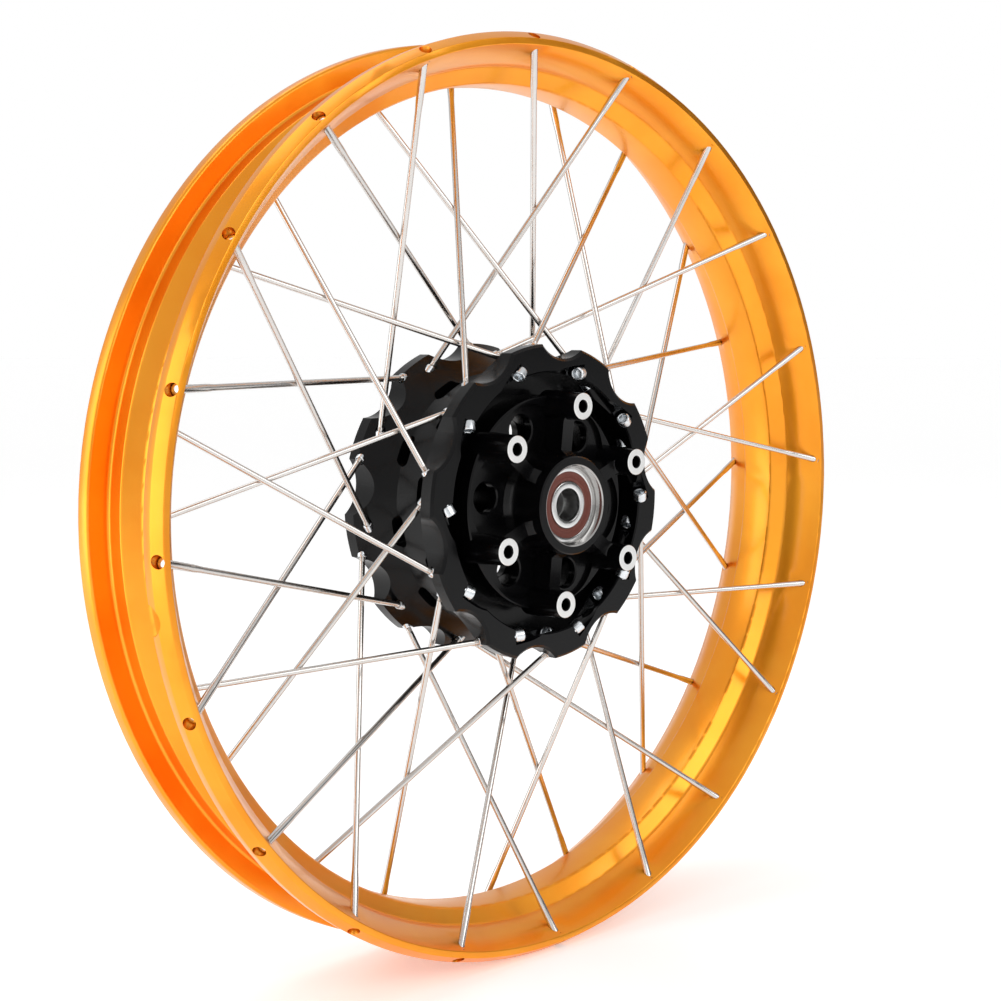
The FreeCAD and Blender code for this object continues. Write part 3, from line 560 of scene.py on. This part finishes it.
def hardened_balls():
    """Lapped and polished balls."""
    steel = coated("ball_steel", Metallic=1.0)
    haze = steel.noise(steel.spot(), 2400.0, 2.0)
    steel.give("Base Color", steel.mix((0.70, 0.70, 0.71, 1), (0.76, 0.76, 0.77, 1), haze))
    steel.give("Roughness", 0.05 + 0.04 * haze)
    return steel.made


def moulded_cage():
    """Glass filled polyamide, off-white, slightly mottled."""
    plastic = coated("cage_polymer", Specular_IOR_Level=0.45)
    mottle = plastic.noise(plastic.spot(), 900.0, 3.0)
    plastic.give("Base Color", plastic.mix((0.62, 0.58, 0.48, 1), (0.74, 0.70, 0.60, 1), mottle))
    plastic.give("Roughness", 0.38 + 0.14 * mottle)
    plastic.relief(mottle, 0.000015)
    return plastic.made


BALLS, BALL_RADIUS = 8, 0.00397
BALL_ROWS, BALL_SIDES = 19, 24
ball_finish, cage_finish = hardened_balls(), moulded_cage()
for side_name, side in SIDES.items():
    label = side_name + "_bearing_"
    pole = np.linspace(0, np.pi, BALL_ROWS)
    profile = np.stack([-BALL_RADIUS * np.cos(pole), BALL_RADIUS * np.sin(pole)], axis=1)
    profile[[0, -1], 1] = 0
    centre = np.array([BALL_CIRCLE, side * BEARING_MIDDLE, 0])
    ball = carried(rounds(profile, BALL_SIDES), centre, *np.eye(3)[[1, 0, 2]])
    piece(
        label + "ball_set", *skin([repeated(ball, BALLS)]), ball_finish,
        side_name + "_cage", "ball_steel", [label + "balls"],
    )
    points, faces = merged(label + "cage")
    piece(
        label + "ball_cage", points, [faces], cage_finish,
        side_name + "_cage", "cage_polymer", [label + "cage"],
    )

# ---- spacer ------------------------------------------------------------------------------------
# A turned aluminium tube between the two inner rings, so that the axle nut can't crush the bearings.


def turned_aluminium():
    """Bare aluminium with lathe rings and a dull oxide."""
    metal = coated("spacer_aluminium", Metallic=1.0)
    radius, along, turn = metal.place()
    rings = metal.noise(metal.vector(radius * 2400, along * 2400, turn * 2), 1.0, 2.0)
    metal.give("Base Color", metal.mix((0.50, 0.50, 0.50, 1), (0.64, 0.64, 0.63, 1), rings))
    metal.give("Roughness", 0.32 + 0.18 * rings)
    metal.relief(rings, 0.00001)
    return metal.made


SPACER_RADIUS, SPACER_HALF = 0.0135, 0.0416
spacer_outline = [
    (BEARING_BORE, -SPACER_HALF), (SPACER_RADIUS, -SPACER_HALF),
    (SPACER_RADIUS, SPACER_HALF), (BEARING_BORE, SPACER_HALF),
]
spacer = turned(eased(spacer_outline, 0.0005), 0.0, 1)
piece(
    "axle_tube", *skin([spacer]), turned_aluminium(),
    "axle_sleeve", "spacer_aluminium", ["axle_spacer"],
)

# ---- floor, light and camera -------------------------------------------------------------------
# A white studio: the wheel stands on a pale gloss board, with soft boxes at its left, above it and
# in front of it, and a camera low down and to the left of the axle.

FLOOR_RADIUS = 30.0


def pale_board():
    """A smooth white board."""
    board = coated(
        "pale_board", Specular_IOR_Level=0.35, Emission_Color=(1, 1, 1, 1), Emission_Strength=0.3
    )
    cloud = board.noise(board.spot(), 1.5, 2.0)
    board.give("Base Color", board.mix((0.93, 0.93, 0.93, 1), (0.95, 0.95, 0.95, 1), cloud))
    board.give("Roughness", 0.3 + 0.04 * cloud)
    return board.made


turn = np.arange(96) * 2 * np.pi / 96
ring = np.array([0.0, 0.5, 1.5, 5.0, FLOOR_RADIUS])[:, None]
height = cad_low.z + 0 * ring * turn
disc = np.stack([ring * np.cos(turn), ring * np.sin(turn), height], axis=-1)[None]
points, faces = skin([disc])
mesh = bpy.data.meshes.new("floor")
mesh.from_pydata(points.tolist(), [], [face for group in faces for face in group.tolist()])
mesh.materials.append(pale_board())
floor = bpy.data.objects.new("floor", mesh)
bpy.context.scene.collection.objects.link(floor)


def soft_box(name, place, target, width, height, power):
    """A rectangular light that points at the target."""
    light = bpy.data.lights.new(name, "AREA")
    light.shape = "RECTANGLE"
    light.size, light.size_y, light.energy = width, height, power
    made = bpy.data.objects.new(name, light)
    made.location = place
    made.rotation_euler = (Vector(target) - Vector(place)).to_track_quat("-Z", "Y").to_euler()
    made.visible_camera = False
    bpy.context.scene.collection.objects.link(made)


centre = (cad_low + cad_high) / 2
soft_box("left_wall", (-1.25, 0.45, 0.25), (0, 0.45, 0.25), 1.6, 1.1, 8.5)
soft_box("top_box", (-0.2, 0.5, 1.5), centre, 1.2, 0.8, 4)
soft_box("front_box", (0.2, -1.5, 0.7), centre, 1.7, 0.8, 8)

# The studio is white all round, with one dark corner in front and to the right.
studio = Finish(bpy.data.worlds.new("studio"), "Background")
bpy.context.scene.world = studio.made
facing = studio.dot(studio.node("ShaderNodeTexCoord", {}, {}, "Generated"), (0.72, -0.69, -0.08))
room = studio.step(facing, 0.70, 0.95, 0.74, 0.08)
seen = studio.node("ShaderNodeLightPath", {}, {}, "Is Camera Ray")
studio.give("Color", studio.mix((0, 0, 0, 1), (1, 1, 1, 1), room.maths("MAXIMUM", room, seen)))
bpy.context.scene.view_settings.view_transform = "Standard"

AZIMUTH, ELEVATION = math.radians(-43.60), math.radians(5.25)
DISTANCE, ASIDE, ABOVE = 1.1254, -0.00267, -0.00104
LENS, SENSOR_WIDTH = 64.56, 36.0
right = Vector((math.cos(AZIMUTH), math.sin(AZIMUTH), 0))
back = Vector((
    math.sin(AZIMUTH) * math.cos(ELEVATION),
    -math.cos(AZIMUTH) * math.cos(ELEVATION),
    math.sin(ELEVATION),
))
up = back.cross(right)
view = bpy.data.cameras.new("camera")
view.lens, view.sensor_width = LENS, SENSOR_WIDTH
view.clip_start, view.clip_end = 0.01, 100.0
camera = bpy.data.objects.new("camera", view)
camera.matrix_world = Matrix.Translation(right * ASIDE + up * ABOVE + back * DISTANCE) @ (
    Matrix((right, up, back)).transposed().to_4x4()
)
bpy.context.scene.collection.objects.link(camera)
bpy.context.scene.camera = camera
